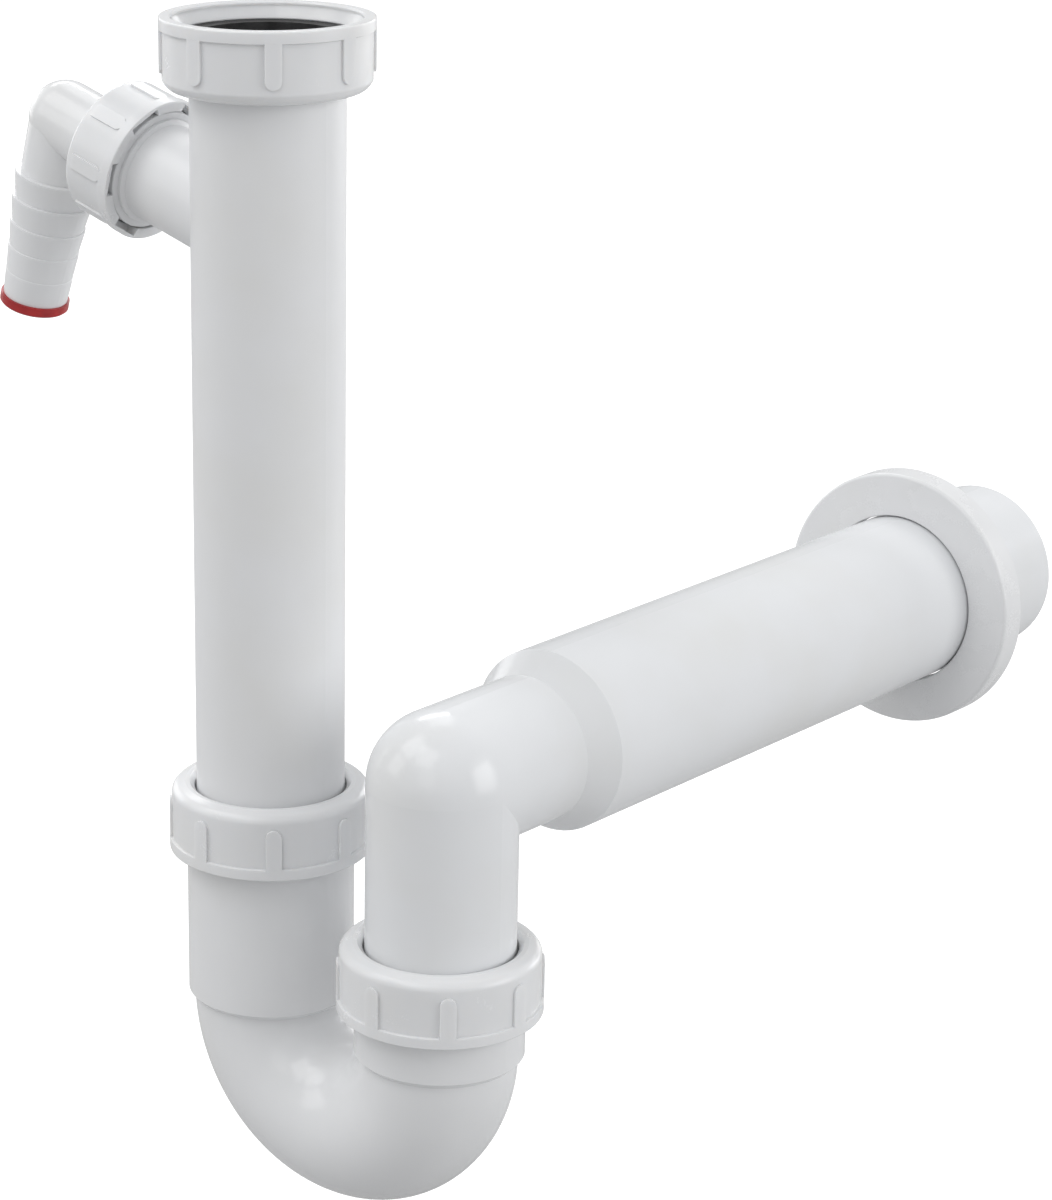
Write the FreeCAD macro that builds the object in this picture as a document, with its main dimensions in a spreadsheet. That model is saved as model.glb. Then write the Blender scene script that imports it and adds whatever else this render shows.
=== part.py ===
import FreeCAD, Part
import math
import os
import Sketcher
from FreeCAD import Placement, Rotation, Vector

# P trap for a sink waste: inlet tube with a hose branch, U-bend body, slip nuts, seals and wall outlet.
# Frame: millimetres, +Z up, +Y towards the wall, +X from the inlet to the outlet leg.
# The origin is the centre of the waste gasket's top face, where the sink waste seats.

os.makedirs("parts", exist_ok=True)
doc = FreeCAD.newDocument("p_trap")

# ---------------------------------------------------------------- driving dimensions
DIMS = {
    # big union nuts, G 1 1/2
    "nut_height": 18.7,
    "nut_lip": 3.0,
    "nut_panel_r": 26.7,
    "nut_rib_r": 27.4,
    "nut_band": 3.3,
    "nut_rib_width": 4.3,
    "nut_rib_length": 11.0,
    "nut_chamfer": 0.45,
    "nut_hole_r": 20.6,
    "nut_bevel_r": 21.9,
    "nut_bevel": 1.3,
    "nut_face_r": 23.1,
    "nut_knee_r": 25.4,
    "nut_knee": 0.75,
    "nut_phase": 1.4,
    "big_pitch": 2.309,
    "waste_lead": 4.3,
    "waste_mouth_r": 24.3,
    "waste_root_r": 23.95,
    "waste_crest_r": 22.45,
    "waste_crease": 2.8,
    "waste_knee_round": 4.0,
    "waste_crease_round": 0.9,
    "slip_lead": 2.0,
    "slip_mouth_r": 24.9,
    "slip_root_r": 24.75,
    "slip_crest_r": 24.05,
    "slip_crease": 2.1,
    "slip_knee_round": 2.2,
    "slip_crease_round": 2.2,
    # tubes
    "tube_r": 20.0,
    "tube_bore_r": 18.2,
    "flange_r": 22.2,
    "flange_depth": 8.5,
    "gasket_depth": 2.7,
    "gasket_bore_r": 17.6,
    "tube_end_z": -240.7,
    # trap body
    "leg_spacing": 61.0,
    "bend_r": 30.5,
    "bend_tube_r": 21.0,
    "bend_bore_r": 18.5,
    "bend_z": -260.7,
    "socket_r": 22.7,
    "socket_bore_r": 20.35,
    "socket_mouth_r": 21.7,
    "socket_mouth_depth": 5.0,
    "socket_step": 1.7,
    "male_core_r": 22.4,
    "male_crest_r": 23.9,
    "male_length": 11.0,
    "inlet_nut_z": -200.4,
    "outlet_nut_z": -229.8,
    # tapered seals
    "seal_bore_r": 20.06,
    "seal_rim_r": 23.4,
    "seal_rim": 2.15,
    "seal_root_r": 21.35,
    "seal_tip_r": 20.36,
    "seal_skirt": 4.0,
    "seal_gap": 0.15,
    # outlet elbow and wall pipe
    "run_z": -185.7,
    "leg_end": 66.0,
    "neck_y": 34.9,
    "shoulder_y": 43.0,
    "pipe_end_y": 255.6,
    "pipe_r": 25.0,
    "pipe_bore_r": 23.2,
    "spigot_start_y": 217.6,
    "spigot_chamfer": 1.2,
    # wall rosette
    "rosette_y": 208.4,
    "rosette_r": 38.2,
    "rosette_hole_r": 25.35,
    "rosette_depth": 8.4,
    "rosette_wall": 2.0,
    "rosette_round": 1.0,
    # hose branch, G 1
    "branch_z": -51.0,
    "branch_tilt": 15.5,
    "branch_r": 13.25,
    "branch_bore_r": 11.0,
    "branch_end": 49.3,
    "branch_step_r": 14.35,
    "branch_step": 40.25,
    "branch_collar_r": 16.2,
    "branch_collar_start": 41.2,
    "branch_collar_end": 42.8,
    "branch_core_r": 15.3,
    "branch_crest_r": 16.35,
    "hose_pitch": 2.309,
    "hose_nut_start": 40.65,
    "hose_nut_height": 16.15,
    "hose_nut_lip": 2.4,
    "hose_nut_rib_r": 19.25,
    "hose_nut_panel_r": 18.75,
    "hose_nut_band": 3.4,
    "hose_nut_rib_width": 4.0,
    "hose_nut_rib_length": 10.3,
    "hose_nut_mouth_r": 16.55,
    "hose_nut_root_r": 17.2,
    "hose_nut_crest_r": 16.55,
    "hose_nut_hole_r": 10.7,
    "notch_r": 18.05,
    "notch_width": 9.0,
    "notch_depth": 3.2,
    # hose washer, elbow, nozzle and cap
    "washer_depth": 2.0,
    "washer_r": 15.6,
    "hose_collar_r": 15.9,
    "hose_collar": 2.8,
    "hose_corner": 77.0,
    "hose_tube_r": 10.0,
    "hose_bore_r": 8.0,
    "nozzle_neck_r": 9.75,
    "nozzle_bore_r": 6.6,
    "barb_start": 16.1,
    "barb_pitch": 7.25,
    "cap_r": 9.5,
    "cap_depth": 2.7,
    "cap_plug_r": 6.52,
    "cap_plug_length": 7.0,
    "cap_wall": 1.3,
}
BARBS = {
    "barb_one": (11.2, 10.2),
    "barb_two": (11.0, 9.95),
    "barb_three": (10.35, 9.5),
    "barb_four": (9.7, 9.2),
    "barb_five": (9.25, 8.85),
}
for barb, (crest, foot) in BARBS.items():
    DIMS[barb + "_crest"] = crest
    DIMS[barb + "_foot"] = foot

sheet = doc.addObject("Spreadsheet::Sheet", "Dims")
for row, (alias, number) in enumerate(DIMS.items(), start=1):
    sheet.set("A%d" % row, alias)
    sheet.set("B%d" % row, repr(number))
    sheet.setAlias("B%d" % row, alias)
doc.recompute()


class Length:
    """A number together with the spreadsheet expression that gives it."""

    def __init__(self, number, text):
        self.number = number
        self.text = text

    def __add__(self, other):
        other = as_length(other)
        return Length(self.number + other.number, "(%s + %s)" % (self.text, other.text))

    def __sub__(self, other):
        other = as_length(other)
        return Length(self.number - other.number, "(%s - %s)" % (self.text, other.text))

    def __mul__(self, other):
        other = as_length(other)
        return Length(self.number * other.number, "(%s * %s)" % (self.text, other.text))

    def __neg__(self):
        return Length(-self.number, "(0 - %s)" % self.text)


def as_length(item):
    return item if isinstance(item, Length) else Length(float(item), repr(float(item)))


def d(alias):
    """The driving dimension of that name."""
    return Length(DIMS[alias], "Dims." + alias)


def bind(thing, prop, length):
    """Drive a property by an expression."""
    thing.setExpression(prop, as_length(length).text)


# ---------------------------------------------------------------- building helpers
BODIES = []


def new_body(name, at=(0, 0, 0), turn=None):
    """A body with its own placement; at holds numbers or dimensions, turn an axis and an angle."""
    body = doc.addObject("PartDesign::Body", name)
    body.Label = name
    axis, angle = turn if turn else (Vector(0, 0, 1), as_length(0))
    angle = as_length(angle)
    places = [as_length(item) for item in at]
    body.Placement = Placement(Vector(*[item.number for item in places]), Rotation(axis, angle.number))
    for letter, item in zip("xyz", places):
        bind(body, "Placement.Base." + letter, item)
    if turn:
        bind(body, "Placement.Rotation.Angle", angle)
    BODIES.append(body)
    return body


def plane_of(body, role):
    return [item for item in body.Origin.OriginFeatures if item.Role == role][0]


def flat_sketch(body, name, role, shift=(0, 0, 0), tilt=0):
    """An empty sketch on one of the body's own planes, shifted and turned within that plane."""
    sketch = body.newObject("Sketcher::SketchObject", name)
    sketch.AttachmentSupport = [(plane_of(body, role), "")]
    sketch.MapMode = "FlatFace"
    shifts = [as_length(item) for item in shift]
    tilt = as_length(tilt)
    base = Vector(*[item.number for item in shifts])
    sketch.AttachmentOffset = Placement(base, Rotation(Vector(0, 0, 1), tilt.number))
    for letter, item in zip("xyz", shifts):
        bind(sketch, "AttachmentOffset.Base." + letter, item)
    if tilt.number:
        bind(sketch, "AttachmentOffset.Rotation.Angle", tilt)
    return sketch


def draw(sketch, corners):
    """Close a polygon through the corners and drive every coordinate by its dimension."""
    points = [(as_length(across), as_length(up)) for across, up in corners]
    count = len(points)
    for index in range(count):
        start = points[index]
        end = points[(index + 1) % count]
        line = Part.LineSegment(
            Vector(start[0].number, start[1].number, 0),
            Vector(end[0].number, end[1].number, 0),
        )
        sketch.addGeometry(line, False)
    for index in range(count):
        sketch.addConstraint(Sketcher.Constraint("Coincident", index, 2, (index + 1) % count, 1))
    for index, (across, up) in enumerate(points):
        for kind, length, axis in (("DistanceX", across, -2), ("DistanceY", up, -1)):
            if abs(length.number) < 1e-9:
                sketch.addConstraint(Sketcher.Constraint("PointOnObject", index, 1, axis))
                continue
            place = sketch.addConstraint(Sketcher.Constraint(kind, -1, 1, index, 1, length.number))
            sketch.setExpression("Constraints[%d]" % place, length.text)
    return sketch


def turned(body, name, corners, role="XZ_Plane", shift=(0, 0, 0), tilt=0, axis="V_Axis", cut=False):
    """Turn a profile round a sketch axis, adding it to the body or cutting it away."""
    sketch = draw(flat_sketch(body, name + "_profile", role, shift, tilt), corners)
    kind = "PartDesign::Groove" if cut else "PartDesign::Revolution"
    feature = body.newObject(kind, name)
    feature.Profile = sketch
    feature.ReferenceAxis = (sketch, [axis])
    feature.Angle = 360
    doc.recompute()
    return feature


def thread(body, name, root, crest, start, length, pitch, inward, shift=(0, 0, 0), tilt=0):
    """A helical ridge: trapezium profile from just inside the wall to the crest."""
    bite = -0.15 if not inward else 0.15
    across_root = root + bite
    foot = pitch * 0.32
    top = pitch * 0.1
    middle = start + foot
    corners = [
        (across_root, middle - foot),
        (crest, middle - top),
        (crest, middle + top),
        (across_root, middle + foot),
    ]
    sketch = draw(flat_sketch(body, name + "_profile", "XZ_Plane", shift, tilt), corners)
    helix = body.newObject("PartDesign::AdditiveHelix", name)
    helix.Profile = sketch
    helix.ReferenceAxis = (sketch, ["V_Axis"])
    helix.Mode = 0
    bind(helix, "Pitch", pitch)
    bind(helix, "Height", length)
    doc.recompute()
    return helix


def around(body, name, feature, count):
    """Repeat a feature round the body's own Z axis."""
    pattern = body.newObject("PartDesign::PolarPattern", name)
    pattern.Originals = [feature]
    pattern.Axis = (plane_of(body, "Z_Axis"), [""])
    pattern.Angle = 360
    pattern.Occurrences = count
    body.Tip = pattern
    doc.recompute()
    return pattern


def rounded(body, name, rings, radius):
    """Round the circular edges that have these radii and heights on the body's Z axis."""
    base = body.Tip
    shape = base.Shape
    names = []
    for index, edge in enumerate(shape.Edges, start=1):
        curve = edge.Curve
        if curve.TypeId != "Part::GeomCircle":
            continue
        for ring_r, ring_z in rings:
            near = abs(curve.Radius - ring_r.number) < 1e-3 and abs(curve.Center.z - ring_z.number) < 1e-3
            if near and abs(curve.Center.x) + abs(curve.Center.y) < 1e-3:
                names.append("Edge%d" % index)
    if not names:
        raise RuntimeError("%s: no such edge" % name)
    fillet = body.newObject("PartDesign::Fillet", name)
    fillet.Base = (base, names)
    bind(fillet, "Radius", radius)
    body.Tip = fillet
    doc.recompute()
    return fillet


def rib(body, name, near, far, width, start, length):
    """One upright rib with a half-round end, standing out of the wall along X."""
    half = width * 0.5
    sketch = flat_sketch(body, name + "_profile", "YZ_Plane", (0, 0, near))
    low = start + half
    high = start + length
    left = Vector(-half.number, low.number, 0)
    right = Vector(half.number, low.number, 0)
    arc = Part.Arc(left, Vector(0, start.number, 0), right)
    sketch.addGeometry(arc, False)
    top_right = Vector(half.number, high.number, 0)
    top_left = Vector(-half.number, high.number, 0)
    sketch.addGeometry(Part.LineSegment(right, top_right), False)
    sketch.addGeometry(Part.LineSegment(top_right, top_left), False)
    sketch.addGeometry(Part.LineSegment(top_left, left), False)
    for first, first_end, second, second_end in ((0, 2, 1, 1), (1, 2, 2, 1), (2, 2, 3, 1), (3, 2, 0, 1)):
        sketch.addConstraint(Sketcher.Constraint("Coincident", first, first_end, second, second_end))
    for line in (1, 3):
        sketch.addConstraint(Sketcher.Constraint("Vertical", line))
    sketch.addConstraint(Sketcher.Constraint("Horizontal", 2))
    sketch.addConstraint(Sketcher.Constraint("PointOnObject", 0, 3, -2))
    for kind, geometry, point, length_of in (
        ("DistanceX", 1, 1, half),
        ("DistanceY", 1, 1, low),
        ("DistanceY", 1, 2, high),
        ("DistanceY", 0, 3, low),
    ):
        constraint = Sketcher.Constraint(kind, -1, 1, geometry, point, length_of.number)
        sketch.setExpression("Constraints[%d]" % sketch.addConstraint(constraint), length_of.text)
    pad = body.newObject("PartDesign::Pad", name)
    pad.Profile = sketch
    bind(pad, "Length", far - near)
    doc.recompute()
    return pad


# ---------------------------------------------------------------- big union and slip nuts
def big_nut(name, at, turn, kind):
    """Lip at z = 0, thread entry and band at the top. The kind is waste or slip."""
    body = new_body(name, at, turn)
    top = d("nut_height")
    band_foot = top - d("nut_band")
    mouth = d(kind + "_mouth_r")
    lead = d(kind + "_lead")
    root = d(kind + "_root_r")
    crease = d(kind + "_crease")
    turned(body, name + "_wall", [
        (d("nut_bevel_r"), 0),
        (d("nut_face_r"), 0),
        (d("nut_knee_r"), d("nut_knee")),
        (d("nut_panel_r"), crease),
        (d("nut_panel_r"), band_foot),
        (d("nut_rib_r"), band_foot + 0.25),
        (d("nut_rib_r"), top),
        (mouth + d("nut_chamfer"), top),
        (mouth, top - d("nut_chamfer")),
        (mouth, top - lead),
        (root, top - lead - 0.3),
        (root, d("nut_lip")),
        (d("nut_hole_r"), d("nut_lip")),
        (d("nut_hole_r"), d("nut_bevel")),
    ])
    rounded(body, name + "_knee", [(d("nut_knee_r"), d("nut_knee"))], d(kind + "_knee_round"))
    rounded(body, name + "_crease", [(d("nut_panel_r"), crease)], d(kind + "_crease_round"))
    rounded(body, name + "_bevel_edge", [(d("nut_bevel_r"), as_length(0))], as_length(0.25))
    rounded(body, name + "_rim_edge", [(d("nut_rib_r"), top)], as_length(0.4))
    start = d("nut_height") - d("nut_band") - d("nut_rib_length")
    one = rib(body, name + "_rib", d("nut_panel_r") - 1.0, d("nut_rib_r") - 0.04, d("nut_rib_width"),
              start, d("nut_rib_length") + 0.5)
    around(body, name + "_ribs", one, 8)
    run = top - lead - d("nut_lip") - d("big_pitch") * 0.64 - 2.2
    crest = d(kind + "_crest_r")
    thread(body, name + "_thread", root, crest, d("nut_lip") + 1.6, run, d("big_pitch"), True)
    return body


FLIP = Vector(1, 0, 0)
waste_nut_z = d("waste_lead") - d("nut_height")
big_nut("inlet_union_nut", (0, 0, waste_nut_z), (Vector(0, 0, 1), d("nut_phase")), "waste")
for nut, across, height in (
    ("inlet_slip_nut", as_length(0), d("inlet_nut_z")),
    ("outlet_slip_nut", d("leg_spacing"), d("outlet_nut_z")),
):
    big_nut(nut, (across, 0, height), (FLIP, as_length(180)), "slip")

# ---------------------------------------------------------------- waste gasket
gasket = new_body("inlet_gasket", (0, 0, -d("gasket_depth")))
turned(gasket, "gasket_ring", [
    (d("gasket_bore_r"), 0),
    (d("flange_r"), 0),
    (d("flange_r"), d("gasket_depth")),
    (d("gasket_bore_r"), d("gasket_depth")),
])

# ---------------------------------------------------------------- inlet tube with its hose branch
inlet = new_body("inlet_tube")
tube_top = -d("gasket_depth")
turned(inlet, "tube_wall", [
    (0, d("tube_end_z")),
    (d("tube_r") - 0.8, d("tube_end_z")),
    (d("tube_r"), d("tube_end_z") + 1.5),
    (d("tube_r"), tube_top - d("flange_depth")),
    (d("flange_r"), tube_top - d("flange_depth")),
    (d("flange_r"), tube_top),
    (0, tube_top),
])
TILT = as_length(90) - d("branch_tilt")
BRANCH_AT = (0, d("branch_z"), 0)
thread_start = d("branch_collar_end") + 0.7
turned(inlet, "branch_wall", [
    (0, 0),
    (d("branch_r"), 0),
    (d("branch_r"), d("branch_step") - 0.6),
    (d("branch_step_r"), d("branch_step")),
    (d("branch_step_r"), d("branch_collar_start")),
    (d("branch_collar_r") - 0.2, d("branch_collar_start")),
    (d("branch_collar_r"), d("branch_collar_start") + 0.2),
    (d("branch_collar_r"), d("branch_collar_end")),
    (d("branch_core_r"), d("branch_collar_end") + 0.6),
    (d("branch_core_r"), d("branch_end")),
    (0, d("branch_end")),
], shift=BRANCH_AT, tilt=TILT)
thread(inlet, "branch_thread", d("branch_core_r"), d("branch_crest_r"), thread_start,
       d("branch_end") - thread_start - 2.0, d("hose_pitch"), False, shift=BRANCH_AT, tilt=TILT)
turned(inlet, "tube_bore", [
    (0, d("tube_end_z") - 1.0),
    (d("tube_bore_r"), d("tube_end_z") - 1.0),
    (d("tube_bore_r"), tube_top + 1.0),
    (0, tube_top + 1.0),
], cut=True)
turned(inlet, "branch_bore", [
    (0, 0),
    (d("branch_bore_r"), 0),
    (d("branch_bore_r"), d("branch_end") + 1.0),
    (0, d("branch_end") + 1.0),
], shift=BRANCH_AT, tilt=TILT, cut=True)

# ---------------------------------------------------------------- trap body
trap = new_body("trap_body", (d("leg_spacing") * 0.5, 0, d("bend_z")))


def socket(body, side, across, nut_z):
    """One threaded socket standing on the bend, open at the top."""
    rim = nut_z - d("nut_lip") - d("seal_gap") - d("seal_rim") - d("seal_gap") - d("bend_z")
    turned(body, side + "_socket", [
        (0, -(d("socket_step") + 0.4)),
        (d("socket_r") - d("socket_step") - 0.4, -(d("socket_step") + 0.4)),
        (d("socket_r"), 0),
        (d("socket_r"), rim - d("male_length")),
        (d("male_core_r"), rim - d("male_length") + 0.3),
        (d("male_core_r"), rim - 0.4),
        (d("male_core_r") - 0.4, rim),
        (0, rim),
    ], shift=(across, 0, 0))
    thread(body, side + "_thread", d("male_core_r"), d("male_crest_r"), rim - d("male_length") + 1.0,
           d("male_length") - d("big_pitch") * 0.64 - 1.6, d("big_pitch"), False, shift=(across, 0, 0))
    return rim


def socket_bore(body, side, across, rim):
    """The smooth bore for the tube, with a flared mouth for the seal."""
    turned(body, side + "_bore", [
        (0, 0),
        (d("socket_bore_r"), 0),
        (d("socket_bore_r"), rim - d("socket_mouth_depth")),
        (d("socket_mouth_r"), rim),
        (d("socket_mouth_r"), rim + 3.0),
        (0, rim + 3.0),
    ], shift=(across, 0, 0), cut=True)


def half_ring(body, name, tube, cut):
    """A half torus below the body's XY plane, from one leg to the other."""
    sketch = flat_sketch(body, name + "_profile", "XY_Plane")
    sketch.addGeometry(Part.Circle(Vector(DIMS["bend_r"], 0, 0), Vector(0, 0, 1), tube.number), False)
    sketch.addConstraint(Sketcher.Constraint("PointOnObject", 0, 3, -1))
    across = sketch.addConstraint(Sketcher.Constraint("DistanceX", -1, 1, 0, 3, DIMS["bend_r"]))
    sketch.setExpression("Constraints[%d]" % across, d("bend_r").text)
    radius = sketch.addConstraint(Sketcher.Constraint("Radius", 0, tube.number))
    sketch.setExpression("Constraints[%d]" % radius, tube.text)
    feature = body.newObject("PartDesign::Groove" if cut else "PartDesign::Revolution", name)
    feature.Profile = sketch
    feature.ReferenceAxis = (sketch, ["V_Axis"])
    feature.Angle = 180
    feature.Reversed = False
    doc.recompute()
    return feature


half_ring(trap, "bend_wall", d("bend_tube_r"), False)
inlet_rim = socket(trap, "inlet", -d("bend_r"), d("inlet_nut_z"))
outlet_rim = socket(trap, "outlet", d("bend_r"), d("outlet_nut_z"))
half_ring(trap, "bend_bore", d("bend_bore_r"), True)
for side, across, rim in (("inlet", -d("bend_r"), inlet_rim), ("outlet", d("bend_r"), outlet_rim)):
    socket_bore(trap, side, across, rim)


# ---------------------------------------------------------------- tapered seals
def seal(name, across, nut_z):
    """Skirt down into the socket's mouth, rim clamped between the nut's lip and the socket."""
    rim_z = nut_z - d("nut_lip") - d("seal_gap") - d("seal_rim")
    body = new_body(name, (across, 0, rim_z - d("seal_skirt")))
    turned(body, name + "_ring", [
        (d("seal_bore_r"), 0),
        (d("seal_tip_r"), 0),
        (d("seal_root_r"), d("seal_skirt")),
        (d("seal_rim_r"), d("seal_skirt")),
        (d("seal_rim_r"), d("seal_skirt") + d("seal_rim")),
        (d("seal_bore_r"), d("seal_skirt") + d("seal_rim")),
    ])


seal("inlet_seal", as_length(0), d("inlet_nut_z"))
seal("outlet_seal", d("leg_spacing"), d("outlet_nut_z"))

# ---------------------------------------------------------------- outlet elbow and wall pipe
elbow = new_body("outlet_elbow", (d("leg_spacing"), 0, d("run_z")))


def ball(body, name, radius, cut):
    kind = "PartDesign::SubtractiveSphere" if cut else "PartDesign::AdditiveSphere"
    feature = body.newObject(kind, name)
    feature.AttachmentSupport = [(plane_of(body, "XY_Plane"), "")]
    feature.MapMode = "FlatFace"
    bind(feature, "Radius", radius)
    doc.recompute()
    return feature


turned(elbow, "leg_wall", [
    (0, -d("leg_end")),
    (d("tube_r") - 0.8, -d("leg_end")),
    (d("tube_r"), as_length(1.5) - d("leg_end")),
    (d("tube_r"), 0),
    (0, 0),
])
ball(elbow, "corner_wall", d("tube_r"), False)
turned(elbow, "run_wall", [
    (0, 0),
    (0, d("tube_r")),
    (d("neck_y"), d("tube_r")),
    (d("shoulder_y"), d("pipe_r")),
    (d("spigot_start_y") - 0.8, d("pipe_r")),
    (d("spigot_start_y") - 0.6, d("pipe_r") - 0.35),
    (d("spigot_start_y") - 0.2, d("pipe_r") - 0.35),
    (d("spigot_start_y"), d("pipe_r")),
    (d("pipe_end_y") - d("spigot_chamfer"), d("pipe_r")),
    (d("pipe_end_y"), d("pipe_r") - d("spigot_chamfer")),
    (d("pipe_end_y"), 0),
], role="YZ_Plane", axis="H_Axis")
turned(elbow, "leg_bore", [
    (0, as_length(-1.0) - d("leg_end")),
    (d("tube_bore_r"), as_length(-1.0) - d("leg_end")),
    (d("tube_bore_r"), 0),
    (0, 0),
], cut=True)
ball(elbow, "corner_bore", d("tube_bore_r"), True)
turned(elbow, "run_bore", [
    (0, 0),
    (0, d("tube_bore_r")),
    (d("neck_y"), d("tube_bore_r")),
    (d("shoulder_y"), d("pipe_bore_r")),
    (d("pipe_end_y") + 1.0, d("pipe_bore_r")),
    (d("pipe_end_y") + 1.0, 0),
], role="YZ_Plane", axis="H_Axis", cut=True)

# ---------------------------------------------------------------- wall rosette
rosette = new_body("wall_rosette", (d("leg_spacing"), d("rosette_y"), d("run_z")),
                   (Vector(1, 0, 0), as_length(-90)))
turned(rosette, "rosette_wall", [
    (d("rosette_hole_r"), 0),
    (d("rosette_r"), 0),
    (d("rosette_r"), d("rosette_depth")),
    (d("rosette_r") - d("rosette_wall"), d("rosette_depth")),
    (d("rosette_r") - d("rosette_wall") - 0.3, d("rosette_wall")),
    (d("rosette_hole_r") + d("rosette_wall") + 0.2, d("rosette_wall")),
    (d("rosette_hole_r") + d("rosette_wall") * 0.8, d("rosette_depth") * 0.65),
    (d("rosette_hole_r"), d("rosette_depth") * 0.65),
])
rounded(rosette, "rosette_edge", [(d("rosette_r"), as_length(0))], d("rosette_round"))
rounded(rosette, "rosette_hole_edge", [(d("rosette_hole_r"), as_length(0))], as_length(0.5))

# ---------------------------------------------------------------- hose union nut
SLOPE = math.radians(DIMS["branch_tilt"])
AWAY = Vector(-math.cos(SLOPE), 0, math.sin(SLOPE))
COS = "cos(Dims.branch_tilt * 1 deg)"
SIN = "sin(Dims.branch_tilt * 1 deg)"


def on_branch(distance):
    """A place on the branch axis, that far from the tube's axis."""
    across = Length(AWAY.x * distance.number, "(0 - %s * %s)" % (distance.text, COS))
    height = DIMS["branch_z"] + AWAY.z * distance.number
    up = Length(height, "(Dims.branch_z + %s * %s)" % (distance.text, SIN))
    return (across, 0, up)


BACK_TURN = (Vector(0, 1, 0), d("branch_tilt") - 90)
hose_nut = new_body("hose_union_nut", on_branch(d("hose_nut_start")), BACK_TURN)
top = d("hose_nut_height")
turned(hose_nut, "hose_nut_wall", [
    (d("hose_nut_mouth_r"), 0),
    (d("hose_nut_rib_r"), 0),
    (d("hose_nut_rib_r"), d("hose_nut_band") - 0.2),
    (d("hose_nut_panel_r"), d("hose_nut_band")),
    (d("hose_nut_panel_r"), top),
    (d("hose_nut_hole_r"), top),
    (d("hose_nut_hole_r"), top - d("hose_nut_lip")),
    (d("hose_nut_root_r"), top - d("hose_nut_lip")),
    (d("hose_nut_root_r"), d("notch_depth") + 0.2),
    (d("hose_nut_mouth_r"), d("notch_depth")),
])
rounded(hose_nut, "hose_nut_edge", [(d("hose_nut_panel_r"), top)], as_length(0.9))
rounded(hose_nut, "hose_nut_rim_edge", [(d("hose_nut_rib_r"), as_length(0))], as_length(0.3))
notch_sketch = draw(flat_sketch(hose_nut, "notch_profile", "XY_Plane"), [
    (-(d("notch_width") * 0.5), d("hose_nut_mouth_r") - 1.5),
    (d("notch_width") * 0.5, d("hose_nut_mouth_r") - 1.5),
    (d("notch_width") * 0.5, d("notch_r")),
    (-(d("notch_width") * 0.5), d("notch_r")),
])
notch = hose_nut.newObject("PartDesign::Pocket", "notch")
notch.Profile = notch_sketch
bind(notch, "Length", d("notch_depth"))
notch.Reversed = True
doc.recompute()
around(hose_nut, "notches", notch, 6)
one = rib(hose_nut, "hose_nut_rib", d("hose_nut_panel_r") - 1.0, d("hose_nut_rib_r") - 0.05,
          d("hose_nut_rib_width"), d("hose_nut_band") - 0.5, d("hose_nut_rib_length") + 0.5)
around(hose_nut, "hose_nut_ribs", one, 8)
thread(hose_nut, "hose_nut_thread", d("hose_nut_root_r"), d("hose_nut_crest_r"), d("notch_depth") + 0.6,
       as_length(4.0), d("hose_pitch"), True)

# ---------------------------------------------------------------- hose washer
washer = new_body("hose_washer", on_branch(d("branch_end")), BACK_TURN)
turned(washer, "washer_ring", [
    (d("branch_bore_r"), 0),
    (d("washer_r"), 0),
    (d("washer_r"), d("washer_depth")),
    (d("branch_bore_r"), d("washer_depth")),
])

# ---------------------------------------------------------------- hose elbow with its barbed nozzle
hose = new_body("hose_elbow", on_branch(d("hose_corner")), (Vector(0, 1, 0), d("branch_tilt")))
run = d("hose_corner") - d("branch_end") - d("washer_depth")
turned(hose, "hose_run", [
    (0, 0),
    (0, d("hose_tube_r")),
    (run - d("hose_collar"), d("hose_tube_r")),
    (run - d("hose_collar"), d("hose_collar_r")),
    (run, d("hose_collar_r")),
    (run, 0),
], axis="H_Axis")
ball(hose, "hose_corner_wall", d("hose_tube_r"), False)
corners = [(0, 0), (d("nozzle_neck_r"), 0)]
level = -d("barb_start")
corners.append((d("nozzle_neck_r"), level))
for barb in BARBS:
    corners.append((d(barb + "_crest"), level - 0.1))
    corners.append((d(barb + "_crest"), level - 0.7))
    level = level - d("barb_pitch")
    corners.append((d(barb + "_foot"), level))
corners.append((0, level))
turned(hose, "nozzle_wall", corners)
nozzle_end = level
turned(hose, "hose_run_bore", [
    (0, 0),
    (0, d("hose_bore_r")),
    (run + 1.0, d("hose_bore_r")),
    (run + 1.0, 0),
], axis="H_Axis", cut=True)
ball(hose, "hose_corner_bore", d("hose_bore_r"), True)
turned(hose, "nozzle_bore", [
    (0, nozzle_end - 1.0),
    (d("nozzle_bore_r"), nozzle_end - 1.0),
    (d("nozzle_bore_r"), 0),
    (0, 0),
], cut=True)

# ---------------------------------------------------------------- hose cap
cap = new_body("hose_cap", on_branch(d("hose_corner")), (Vector(0, 1, 0), d("branch_tilt")))
face = nozzle_end - 0.05
turned(cap, "cap_wall", [
    (0, face - d("cap_depth")),
    (d("cap_r") - 0.5, face - d("cap_depth")),
    (d("cap_r"), face - d("cap_depth") + 0.5),
    (d("cap_r"), face),
    (d("cap_plug_r"), face),
    (d("cap_plug_r"), face + d("cap_plug_length") - 0.8),
    (d("cap_plug_r") - 0.8, face + d("cap_plug_length")),
    (d("cap_plug_r") - d("cap_wall"), face + d("cap_plug_length")),
    (d("cap_plug_r") - d("cap_wall"), face - 0.5),
    (0, face - 0.5),
])

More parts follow.
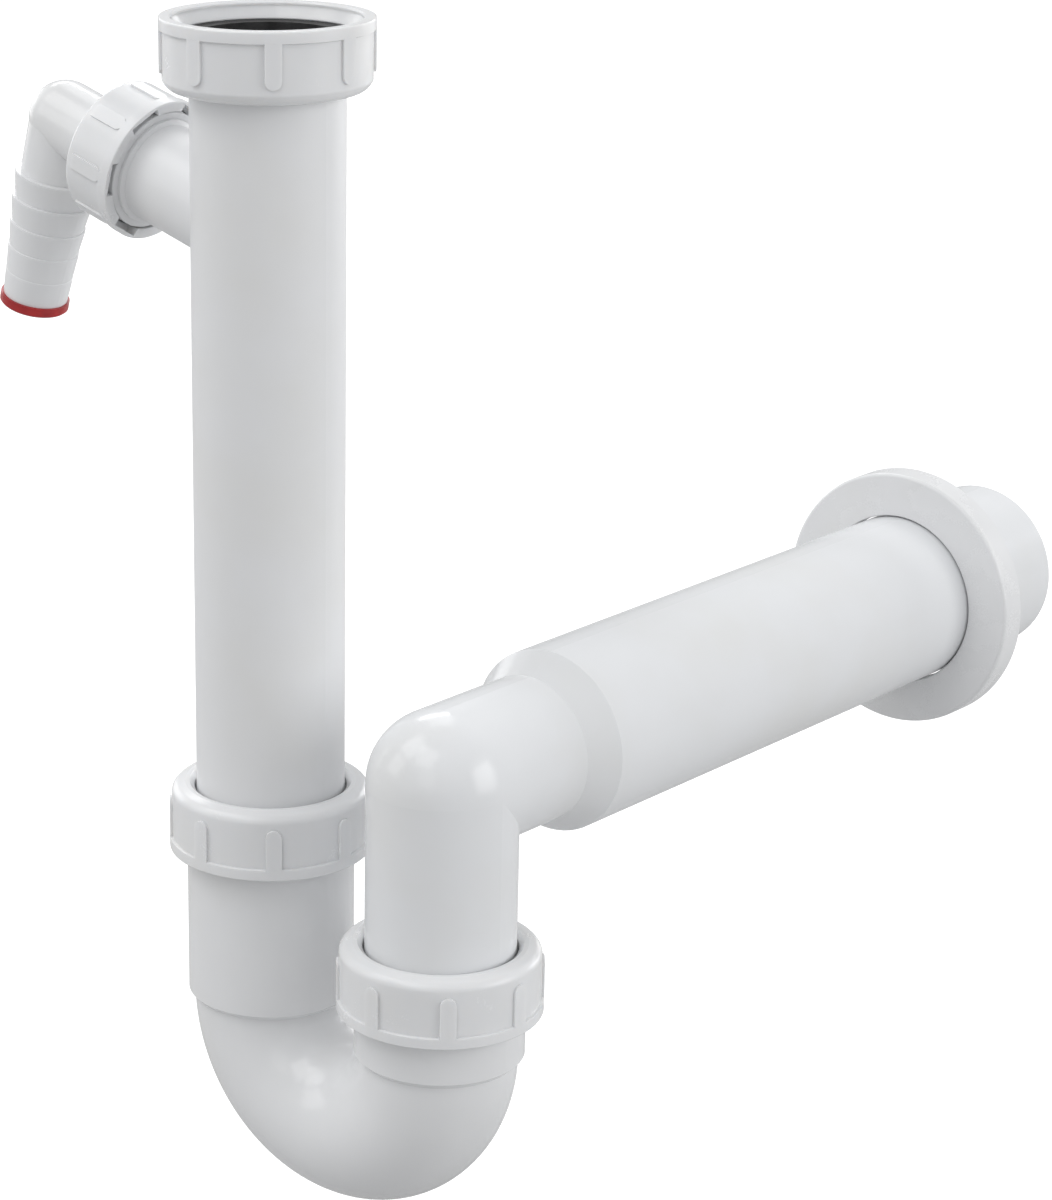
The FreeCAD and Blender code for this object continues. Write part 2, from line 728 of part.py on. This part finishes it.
# ---------------------------------------------------------------- check and write
doc.recompute()
for item in doc.Objects:
    faults = [word for word in item.State if word in ("Invalid", "Error")]
    if faults:
        raise RuntimeError("%s: %s" % (item.Name, faults))
for body in BODIES:
    shape = body.Shape
    if shape.isNull() or not shape.isValid() or len(shape.Solids) != 1:
        raise RuntimeError("%s: %d solids" % (body.Label, len(shape.Solids)))
    shape.exportStep("parts/%s.step" % body.Label)
    box = shape.BoundBox
    print("%-18s %8.0f mm3  z %.1f to %.1f" % (body.Label, shape.Volume, box.ZMin, box.ZMax))
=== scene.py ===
import bmesh
import bpy
import math
from mathutils import Matrix, Vector


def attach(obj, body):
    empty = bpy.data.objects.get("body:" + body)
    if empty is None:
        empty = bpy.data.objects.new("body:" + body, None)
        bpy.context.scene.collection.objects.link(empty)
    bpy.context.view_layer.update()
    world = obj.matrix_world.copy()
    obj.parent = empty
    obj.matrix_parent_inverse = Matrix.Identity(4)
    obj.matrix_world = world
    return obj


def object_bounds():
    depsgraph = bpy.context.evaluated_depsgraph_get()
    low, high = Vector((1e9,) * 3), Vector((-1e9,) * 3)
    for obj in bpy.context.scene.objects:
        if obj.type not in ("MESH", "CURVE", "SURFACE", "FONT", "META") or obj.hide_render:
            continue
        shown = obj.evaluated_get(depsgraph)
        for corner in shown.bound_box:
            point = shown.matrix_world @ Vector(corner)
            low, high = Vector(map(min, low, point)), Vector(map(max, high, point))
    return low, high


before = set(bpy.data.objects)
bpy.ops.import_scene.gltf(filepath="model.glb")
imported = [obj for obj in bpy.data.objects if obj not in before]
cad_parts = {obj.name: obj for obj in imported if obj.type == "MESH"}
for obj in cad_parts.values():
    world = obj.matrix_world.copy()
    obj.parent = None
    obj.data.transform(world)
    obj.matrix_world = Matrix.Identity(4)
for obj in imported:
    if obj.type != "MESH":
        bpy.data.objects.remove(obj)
cad_low, cad_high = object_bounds()
scene = bpy.context.scene

# ------------------------------------------------------------------ camera
# The eye is in metres. The lens and its sensor are in millimetres, the shifts in sensor widths.
EYE = Vector((0.5914, -0.6243, 0.13195))
YAW, PITCH, ROLL = math.radians(-42.215), math.radians(19.408), math.radians(0.161)
LENS, SENSOR, SHIFT_X, SHIFT_Y = 116.71, 36.0, 0.1772, 0.0722

ahead = Vector((math.sin(YAW) * math.cos(PITCH), math.cos(YAW) * math.cos(PITCH), -math.sin(PITCH)))
level = Vector((math.cos(YAW), -math.sin(YAW), 0.0))
above = level.cross(ahead)
side = level * math.cos(ROLL) + above * math.sin(ROLL)
up = above * math.cos(ROLL) - level * math.sin(ROLL)

lens = bpy.data.cameras.new("camera")
camera = bpy.data.objects.new("camera", lens)
scene.collection.objects.link(camera)
camera.matrix_world = Matrix.Translation(EYE) @ Matrix((side, up, -ahead)).transposed().to_4x4()
lens.sensor_fit = "HORIZONTAL"
lens.sensor_width = SENSOR
lens.lens = LENS
lens.shift_x = SHIFT_X
lens.shift_y = SHIFT_Y
lens.clip_start = 0.02
lens.clip_end = 60.0
scene.camera = camera

# ------------------------------------------------------------------ light and floor
scene.view_settings.view_transform = "Standard"

world = bpy.data.worlds.new("studio")
scene.world = world
world.use_nodes = True
sky = world.node_tree
sky.nodes["Background"].inputs["Color"].default_value = (0.98, 0.99, 1.0, 1.0)
sky.nodes["Background"].inputs["Strength"].default_value = 0.5
MIDDLE = Vector((0.03, 0.06, -0.15))
LAMP_DISTANCE = 2.2


def softbox(name, azimuth, elevation, width, height, watts):
    """A lamp facing the object. Azimuth 0 is in front, at -Y, and 90 is to the right, at +X."""
    turn, rise = math.radians(azimuth), math.radians(elevation)
    toward = Vector((math.sin(turn) * math.cos(rise), -math.cos(turn) * math.cos(rise), math.sin(rise)))
    lamp = bpy.data.lights.new(name, "AREA")
    lamp.shape = "RECTANGLE"
    lamp.size = width
    lamp.size_y = height
    lamp.energy = watts
    thing = bpy.data.objects.new(name, lamp)
    thing.location = MIDDLE + toward * LAMP_DISTANCE
    thing.rotation_mode = "QUATERNION"
    thing.rotation_quaternion = (-toward).to_track_quat("-Z", "Y")
    scene.collection.objects.link(thing)


softbox("front_top", 0, 52, 1.1, 1.1, 8)
softbox("left_top", 312, 52, 1.1, 1.1, 9)
softbox("back_left_top", 225, 54, 0.9, 0.9, 4)
softbox("back_left_key", 233, 36, 1.1, 0.36, 6)
softbox("left_side", 315, 22, 0.9, 0.9, 4)
softbox("back_left_side", 268, 22, 0.9, 0.9, 2)
softbox("left_low", 262, 8, 1.4, 0.9, 5)
softbox("back_low", 178, 8, 1.8, 0.9, 17)
softbox("right_low", 108, 14, 1.4, 1.3, 14)
softbox("right_side", 113, 26, 1.2, 1.0, 3)
softbox("front_low", 15, 22, 0.9, 0.9, 2)

# The trap can slide 22 mm down its tube, so the floor lies a little lower than that.
FLOOR_Z = cad_low.z - 0.024
FLOOR_HALF = 9.0
floor_mesh = bpy.data.meshes.new("floor")
floor_mesh.from_pydata(
    [(x * FLOOR_HALF, y * FLOOR_HALF, FLOOR_Z) for x, y in ((-1, -1), (1, -1), (1, 1), (-1, 1))],
    [], [(0, 1, 2, 3)])
floor = bpy.data.objects.new("floor", floor_mesh)
scene.collection.objects.link(floor)


# ------------------------------------------------------------------ materials
class Paint:
    """A node tree being built for one material."""

    def __init__(self, name):
        self.material = bpy.data.materials.new(name)
        self.material.use_nodes = True
        self.tree = self.material.node_tree
        self.shader = self.tree.nodes["Principled BSDF"]
        self.where = self.node("ShaderNodeTexCoord").outputs["Object"]

    def node(self, kind, **settings):
        made = self.tree.nodes.new(kind)
        for key, item in settings.items():
            setattr(made, key, item)
        return made

    def link(self, source, target):
        self.tree.links.new(source, target)

    def set(self, **constants):
        """Set shader inputs, with an underscore for each space in a name."""
        for key, item in constants.items():
            self.shader.inputs[key.replace("_", " ")].default_value = item

    def noise(self, scale, detail=2.0, rough=0.5, stretch=None):
        """Noise in metres of the object's own space, from 0 to 1."""
        at = self.where
        if stretch:
            squeeze = self.node("ShaderNodeVectorMath", operation="MULTIPLY")
            squeeze.inputs[1].default_value = stretch
            self.link(at, squeeze.inputs[0])
            at = squeeze.outputs["Vector"]
        made = self.node("ShaderNodeTexNoise")
        made.inputs["Scale"].default_value = scale
        made.inputs["Detail"].default_value = detail
        made.inputs["Roughness"].default_value = rough
        self.link(at, made.inputs["Vector"])
        return made.outputs["Fac"]

    def spread(self, source, low, high, start=0.3, end=0.7):
        """Carry a value from start..end to low..high."""
        made = self.node("ShaderNodeMapRange")
        for key, item in (("From Min", start), ("From Max", end), ("To Min", low), ("To Max", high)):
            made.inputs[key].default_value = item
        self.link(source, made.inputs["Value"])
        return made.outputs["Result"]

    def ramp(self, source, colours):
        """Colours by place, from 0 to 1."""
        made = self.node("ShaderNodeValToRGB")
        while len(made.color_ramp.elements) < len(colours):
            made.color_ramp.elements.new(0.5)
        for element, (place, colour) in zip(made.color_ramp.elements, colours):
            element.position = place
            element.color = (*colour, 1.0)
        self.link(source, made.inputs["Fac"])
        return made.outputs["Color"]

    def add(self, first, second, share):
        """The first value plus a share of the second."""
        made = self.node("ShaderNodeMath", operation="MULTIPLY_ADD")
        self.link(second, made.inputs[0])
        made.inputs[1].default_value = share
        self.link(first, made.inputs[2])
        return made.outputs[0]

    def painted_crease_shade(self, colour, reach, depth):
        """Darken a colour by ambient occlusion in creases and beside neighbouring parts: painted shade
        where shadow falls.
        """
        near = self.node("ShaderNodeAmbientOcclusion", samples=12)
        near.inputs["Distance"].default_value = reach
        made = self.node("ShaderNodeVectorMath", operation="SCALE")
        self.link(colour, made.inputs[0])
        self.link(self.spread(near.outputs["AO"], 1.0 - depth, 1.0, 0.45, 0.95), made.inputs["Scale"])
        return made.outputs["Vector"]

    def bump(self, height, depth):
        """Raise the surface by a height from 0 to 1 times a depth in metres."""
        made = self.node("ShaderNodeBump")
        made.inputs["Distance"].default_value = depth
        made.inputs["Strength"].default_value = 1.0
        self.link(height, made.inputs["Height"])
        self.link(made.outputs["Normal"], self.shader.inputs["Normal"])


WAVE_DEPTH = 0.00003
# Reach in metres and depth of the painted shade that ambient occlusion puts into creases.
CREASE_REACH = 0.001
PAINTED_CREASE_SHADE = 0.06


def plastic(name, rough, grain_depth, colour=(0.80, 0.805, 0.815), grain=1400.0, drawn=None, bleed=0.0):
    """Moulded or extruded white plastic: fine grain, slight sink waves, faint tone changes.

    The grain's depth is in metres. Drawn is the stretch of an extruded piece's marks, and bleed is how much
    light passes under the surface.
    """
    paint = Paint(name)
    tone = paint.noise(22.0, 3.0)
    pale = tuple(min(1.0, item * 1.02) for item in colour)
    dull = (colour[0] * 0.975, colour[1] * 0.97, colour[2] * 0.955)
    body = paint.ramp(tone, [(0.3, dull), (0.5, colour), (0.7, pale)])
    # The base colour gets painted shade: it is darkened by ambient occlusion in creases and beside other
    # parts.
    paint.link(paint.painted_crease_shade(body, CREASE_REACH, PAINTED_CREASE_SHADE), paint.shader.inputs["Base Color"])
    paint.set(IOR=1.49, Specular_IOR_Level=0.5, Subsurface_Weight=bleed, Subsurface_Radius=(1.0, 0.95, 0.9),
              Subsurface_Scale=0.002)
    fine = paint.noise(grain, 2.0, 0.6)
    broad = paint.noise(90.0, 2.0, 0.5, stretch=drawn)
    mixed = paint.add(broad, fine, 0.5)
    paint.link(paint.spread(mixed, rough[0], rough[1], 0.45, 1.05), paint.shader.inputs["Roughness"])
    wave = paint.add(paint.noise(55.0, 1.0, 0.4, stretch=drawn), fine, grain_depth / WAVE_DEPTH)
    paint.bump(wave, WAVE_DEPTH)
    return paint.material


def rubber(name, colour, rough=(0.6, 0.75)):
    """Matt rubber with a dusty bloom."""
    paint = Paint(name)
    bloom = tuple(item + 0.02 for item in colour)
    tone = paint.noise(160.0, 4.0, 0.6)
    paint.link(paint.ramp(tone, [(0.35, colour), (0.65, bloom)]), paint.shader.inputs["Base Color"])
    fine = paint.noise(2600.0, 2.0, 0.6)
    paint.link(paint.spread(fine, rough[0], rough[1]), paint.shader.inputs["Roughness"])
    paint.set(IOR=1.5, Specular_IOR_Level=0.4)
    paint.bump(fine, 0.00003)
    return paint.material


def red_plastic(name):
    """Red polyethylene of the blanking cap."""
    paint = Paint(name)
    tone = paint.noise(240.0, 3.0)
    colours = [(0.3, (0.34, 0.012, 0.014)), (0.7, (0.47, 0.022, 0.022))]
    paint.link(paint.ramp(tone, colours), paint.shader.inputs["Base Color"])
    fine = paint.noise(1800.0, 2.0, 0.6)
    paint.link(paint.spread(fine, 0.28, 0.42), paint.shader.inputs["Roughness"])
    paint.set(IOR=1.5)
    paint.bump(fine, 0.00002)
    return paint.material


ALONG_Z = (1.0, 1.0, 0.06)
ALONG_Y = (1.0, 0.06, 1.0)
nut_finish = plastic("nut_polypropylene", rough=(0.22, 0.28), grain=1700.0, grain_depth=0.000003, bleed=0.5)
tube_finish = plastic("tube_polypropylene", rough=(0.30, 0.40), drawn=ALONG_Z, grain_depth=0.00001)
bend_finish = plastic("bend_polypropylene", rough=(0.14, 0.20), grain_depth=0.000003)
elbow_finish = plastic("elbow_polypropylene", colour=(0.81, 0.82, 0.835), rough=(0.15, 0.21), drawn=ALONG_Y,
                       grain_depth=0.000003)
rosette_finish = plastic("rosette_polystyrene", rough=(0.24, 0.30), grain=1900.0, grain_depth=0.000004)
hose_finish = plastic("hose_elbow_polypropylene", rough=(0.18, 0.26), grain_depth=0.000003)
FINISHES = {
    "inlet_union_nut": nut_finish,
    "inlet_slip_nut": nut_finish,
    "outlet_slip_nut": nut_finish,
    "hose_union_nut": nut_finish,
    "inlet_tube": tube_finish,
    "trap_body": bend_finish,
    "outlet_elbow": elbow_finish,
    "wall_rosette": rosette_finish,
    "hose_elbow": hose_finish,
    "inlet_gasket": rubber("gasket_rubber", (0.006, 0.006, 0.006)),
    "hose_washer": rubber("washer_rubber", (0.012, 0.012, 0.012)),
    "inlet_seal": rubber("seal_polyethylene", (0.36, 0.37, 0.38), (0.42, 0.55)),
    "hose_cap": red_plastic("cap_polyethylene"),
}
FINISHES["outlet_seal"] = FINISHES["inlet_seal"]
for name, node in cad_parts.items():
    for slot in node.material_slots:
        slot.material = FINISHES[name]


def bright_paper(name):
    """Pale grey studio paper that glows white to the camera's own rays and not to the object."""
    paint = Paint(name)
    paint.link(paint.ramp(paint.noise(3.0), [(0.3, (0.46, 0.46, 0.46)), (0.7, (0.48, 0.48, 0.48))]),
               paint.shader.inputs["Base Color"])
    paint.link(paint.spread(paint.noise(400.0), 0.8, 0.95), paint.shader.inputs["Roughness"])
    paint.set(Specular_IOR_Level=0.1, Emission_Color=(1.0, 1.0, 1.0, 1.0))
    seen = paint.node("ShaderNodeLightPath").outputs["Is Camera Ray"]
    paint.link(paint.spread(seen, 0.0, 0.72, 0.0, 1.0), paint.shader.inputs["Emission Strength"])
    return paint.material


floor_mesh.materials.append(bright_paper("floor_paper"))


# ------------------------------------------------------------------ first turn of the inlet nut's thread
MM = 0.001
RING_STEPS = 192


def lead_in(name, section):
    """A ring inside a nut on the Z axis. The section is radius and height pairs, in millimetres."""
    points = []
    faces = []
    count = len(section)
    for step in range(RING_STEPS):
        angle = math.tau * step / RING_STEPS
        for radius, height in section:
            out = MM * radius
            points.append((out * math.cos(angle), out * math.sin(angle), MM * height))
        here, there = step * count, (step + 1) % RING_STEPS * count
        for corner in range(count):
            after = (corner + 1) % count
            faces.append((here + corner, there + corner, there + after, here + after))
    mesh = bpy.data.meshes.new(name)
    mesh.from_pydata(points, [], faces)
    shape = bmesh.new()
    shape.from_mesh(mesh)
    bmesh.ops.recalc_face_normals(shape, faces=shape.faces)
    shape.to_mesh(mesh)
    shape.free()
    mesh.materials.append(nut_finish)
    piece = bpy.data.objects.new(name, mesh)
    scene.collection.objects.link(piece)
    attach(piece, "inlet_union_nut")


lead_in("inlet_nut_thread_lead", ((24.4, 0.05), (22.45, 0.1), (22.45, 0.35), (23.2, 1.5), (24.4, 3.4)))
